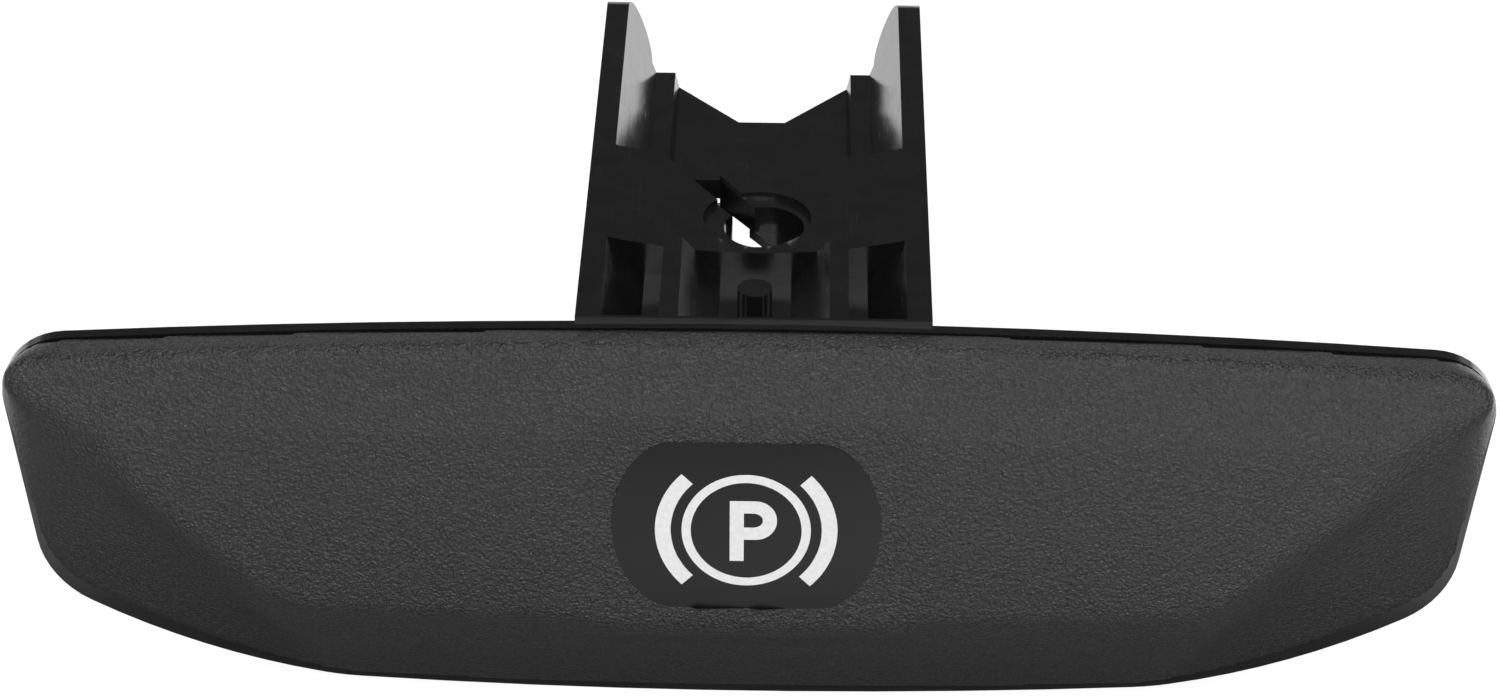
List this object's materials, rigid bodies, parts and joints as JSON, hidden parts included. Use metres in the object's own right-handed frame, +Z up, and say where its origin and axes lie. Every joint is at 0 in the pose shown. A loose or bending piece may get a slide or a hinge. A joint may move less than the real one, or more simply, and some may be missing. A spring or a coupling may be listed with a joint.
{
  "type": "parking brake release handle",
  "caption": "Moulded pull handle: a wide grained grip with a sign plate, on a polished channel-shaped stem with a seat and a slanted slot for the end of a release cable.",
  "frame": {"origin": "middle of the stem's top face, where it meets the back of the grip's rim", "axes": "+X to the right along the grip as the driver sees it, +Y back along the stem, +Z up"},
  "size_m": [0.1026, 0.0544, 0.0309],
  "materials": {
    "polished_plastic": "polished",
    "grained_plastic": "fine leather grain",
    "sign_black": "smooth satin with a white sign"
  },
  "bodies": {
    "root": {"handle_body": "polished_plastic", "grip_cover": "grained_plastic", "sign_plate": "sign_black"}
  },
  "joints": []
}
